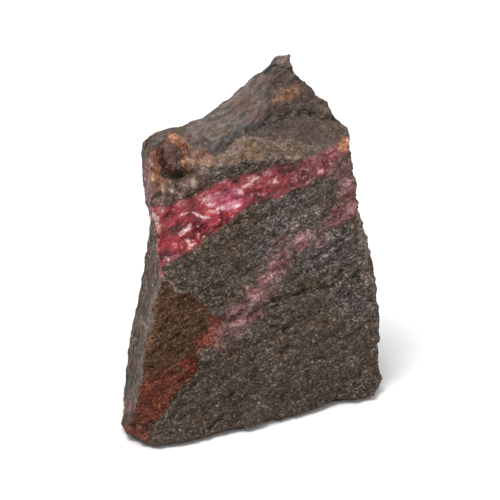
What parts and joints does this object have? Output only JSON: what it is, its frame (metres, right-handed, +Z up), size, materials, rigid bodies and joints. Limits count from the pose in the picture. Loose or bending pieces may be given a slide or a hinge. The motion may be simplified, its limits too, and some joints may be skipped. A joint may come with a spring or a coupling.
{
  "type": "rhodonite rough",
  "caption": "Broken wedge-shaped lump of grey-brown rock with a crimson crystalline vein, a rust-stained face and a pointed top, standing on a flat underside.",
  "frame": {"origin": "centre of the bounding box at the flat underside", "axes": "+Z up through the pointed top, the veined front faces -Y, +X to the right seen from the front"},
  "size_m": [0.057, 0.041, 0.0685],
  "materials": {
    "stone": "broken rock, dull and granular with small glints; glassy crimson where the vein is"
  },
  "bodies": {
    "root": {"rough": "stone"}
  },
  "joints": []
}
